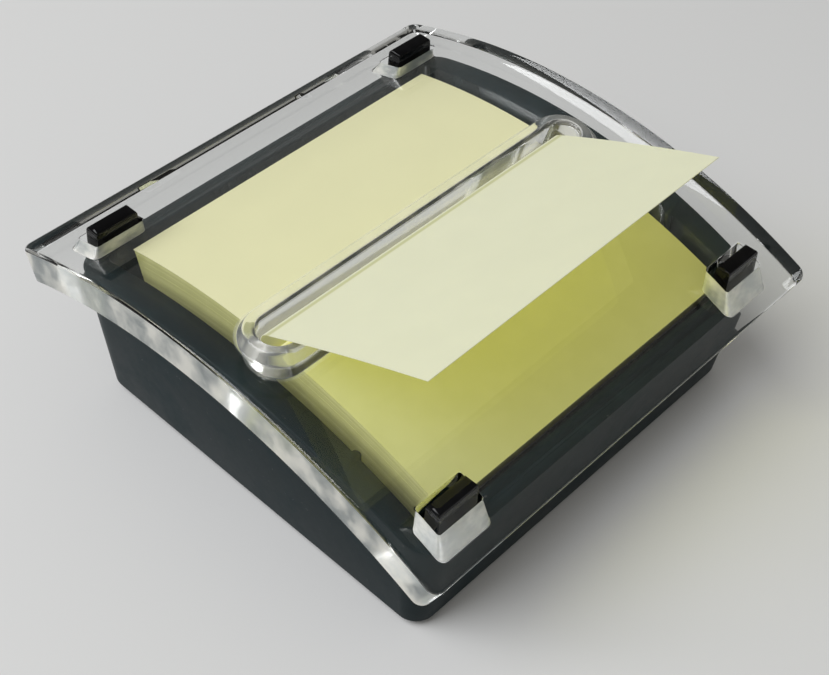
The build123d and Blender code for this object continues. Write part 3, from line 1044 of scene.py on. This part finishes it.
class MEMO_OT_tray(bpy.types.Operator):
    """Finish the black tray and the plate that closes it"""
    bl_idname = "memo.tray"
    bl_label = "Tray"

    def execute(self, context):
        look = context.scene.memo_base
        plastic = moulded_plastic("satin_black", look.shell, roughness=0.3, gloss=0.06)
        inner = moulded_plastic("pocket_black", look.shell, roughness=0.1, gloss=0.45)
        tray = smooth_copy("base_shell", (plastic, inner), "base")
        for polygon in tray.data.polygons:
            parts = zip(POCKET_LOW, polygon.center, POCKET_HIGH)
            if all(low < part < high for low, part, high in parts):
                polygon.material_index = POCKET_SLOT
        smooth_copy("bottom_cover", plastic, "base")
        return {"FINISHED"}


class MEMO_OT_posts(bpy.types.Operator):
    """Finish the four glossy guide posts"""
    bl_idname = "memo.posts"
    bl_label = "Guide posts"

    def execute(self, context):
        look = context.scene.memo_base
        plastic = polished_plastic("gloss_black", look.post)
        for corner in CORNERS:
            smooth_copy("guide_post_" + corner, plastic, "base")
        return {"FINISHED"}


class MEMO_OT_underside(bpy.types.Operator):
    """Finish the ballast plates, the screws and the rubber feet"""
    bl_idname = "memo.underside"
    bl_label = "Underside"

    def execute(self, context):
        steel = rolled_steel("ballast_steel", BALLAST_STEEL, streak=(0.15, 1, 1))
        for node in ("ballast_plate_1", "ballast_plate_2"):
            paint(node, steel)
        paint("base_screws", rolled_steel("screw_steel", SCREW_STEEL, streak=(1, 1, 1)))
        rubber = foot_rubber("foot_rubber")
        for corner in CORNERS:
            smooth_copy("rubber_foot_" + corner, rubber, "base")
        return {"FINISHED"}


# ---------------------------------------------------------------- stage

def camera_turn():
    """Rotation of the photograph's camera."""
    back = Vector((
        math.sin(CAMERA_AZIMUTH) * math.cos(CAMERA_ELEVATION),
        -math.cos(CAMERA_AZIMUTH) * math.cos(CAMERA_ELEVATION),
        math.sin(CAMERA_ELEVATION),
    ))
    level = Vector((0, 0, 1)).cross(back).normalized()
    upward = back.cross(level)
    right = math.cos(CAMERA_ROLL) * level + math.sin(CAMERA_ROLL) * upward
    top = math.cos(CAMERA_ROLL) * upward - math.sin(CAMERA_ROLL) * level
    return Matrix((right, top, back)).transposed()


def add_window(power):
    """The square soft light of a window, aimed at the object."""
    light = bpy.data.lights.new("window", "AREA")
    light.size = WINDOW_SIZE
    light.energy = power
    light.color = WINDOW_COLOUR
    lamp = bpy.data.objects.new("window", light)
    lamp.location = WINDOW_PLACE
    back = Vector(WINDOW_PLACE) - Vector(WINDOW_TARGET)
    lamp.rotation_euler = back.to_track_quat("Z", "Y").to_euler()
    bpy.context.scene.collection.objects.link(lamp)


def floor_finish(colour):
    """Painted floor with faint clouds."""
    shader = Shader("floor_paint")
    cloud = shader.noise(0.35, detail=2, roughness=0.5)
    return shader.finish(shader.principled(
        Base_Color=shader.mix(cloud, shade(colour, 0.985), shade(colour, 1.015)),
        Specular_IOR_Level=0.1, Roughness=0.8,
    ))


def room_world(look):
    """Even light from all round; gloss shows a dimmer room, as one with a single window is."""
    shader = Shader("room", world=True)
    light = shader.node("ShaderNodeLightPath")
    glossy = Value(shader, light.outputs["Is Glossy Ray"])
    through = Value(shader, light.outputs["Is Transmission Ray"])
    strength = look.fill + through * (look.through - look.fill)
    strength = strength + glossy * (1 - through) * (look.mirrored - look.fill)
    return shader.finish(shader.node(
        "ShaderNodeBackground", None, {"Color": ROOM_COLOUR, "Strength": strength}
    ))


class MEMO_OT_stage(bpy.types.Operator):
    """Add the floor, the window, the room and the camera"""
    bl_idname = "memo.stage"
    bl_label = "Stage"

    def execute(self, context):
        look = context.scene.memo_stage
        scene = context.scene
        bm = bmesh.new()
        bmesh.ops.create_circle(bm, cap_ends=True, segments=FLOOR_SIDES, radius=FLOOR_RADIUS)
        mesh = mesh_from(bm, "floor")
        mesh.materials.append(floor_finish(look.floor))
        floor = bpy.data.objects.new("floor", mesh)
        floor.location.z = -FLOOR_DROP
        scene.collection.objects.link(floor)

        add_window(look.window)
        scene.world = room_world(look)
        scene.view_settings.view_transform = "Standard"

        camera = bpy.data.cameras.new("camera")
        camera.sensor_width = CAMERA_SENSOR
        camera.lens = CAMERA_LENS
        holder = bpy.data.objects.new("camera", camera)
        holder.matrix_world = Matrix.Translation(CAMERA_PLACE) @ camera_turn().to_4x4()
        scene.collection.objects.link(holder)
        scene.camera = holder
        return {"FINISHED"}


# ---------------------------------------------------------------- add-on

OPERATORS = (
    MEMO_OT_tray, MEMO_OT_posts, MEMO_OT_underside, MEMO_OT_pad, MEMO_OT_notes, MEMO_OT_cover,
    MEMO_OT_stage,
)
LOOKS = {
    "memo_cover": CoverLook, "memo_note": NoteLook, "memo_base": BaseLook, "memo_stage": StageLook,
}


class MEMO_PT_pieces(bpy.types.Panel):
    """Lists the sizes, the colours and the steps."""
    bl_label = "Memo note holder"
    bl_idname = "MEMO_PT_pieces"
    bl_space_type = "VIEW_3D"
    bl_region_type = "UI"
    bl_category = "Memo holder"

    def draw(self, context):
        for name, group in LOOKS.items():
            column = self.layout.box().column()
            column.label(text=group.__doc__)
            for key in group.__annotations__:
                column.prop(getattr(context.scene, name), key)
        for operator in OPERATORS:
            self.layout.operator(operator.bl_idname)


def register():
    for kind in (*LOOKS.values(), *OPERATORS, MEMO_PT_pieces):
        bpy.utils.register_class(kind)
    for name, group in LOOKS.items():
        setattr(bpy.types.Scene, name, bpy.props.PointerProperty(type=group))


def unregister():
    for name in LOOKS:
        delattr(bpy.types.Scene, name)
    for kind in reversed((*LOOKS.values(), *OPERATORS, MEMO_PT_pieces)):
        bpy.utils.unregister_class(kind)


def main():
    register()
    bpy.ops.memo.tray()
    bpy.ops.memo.posts()
    bpy.ops.memo.underside()
    bpy.ops.memo.pad()
    bpy.ops.memo.notes()
    bpy.ops.memo.cover()
    bpy.ops.memo.stage()


if __name__ == "__main__":
    main()
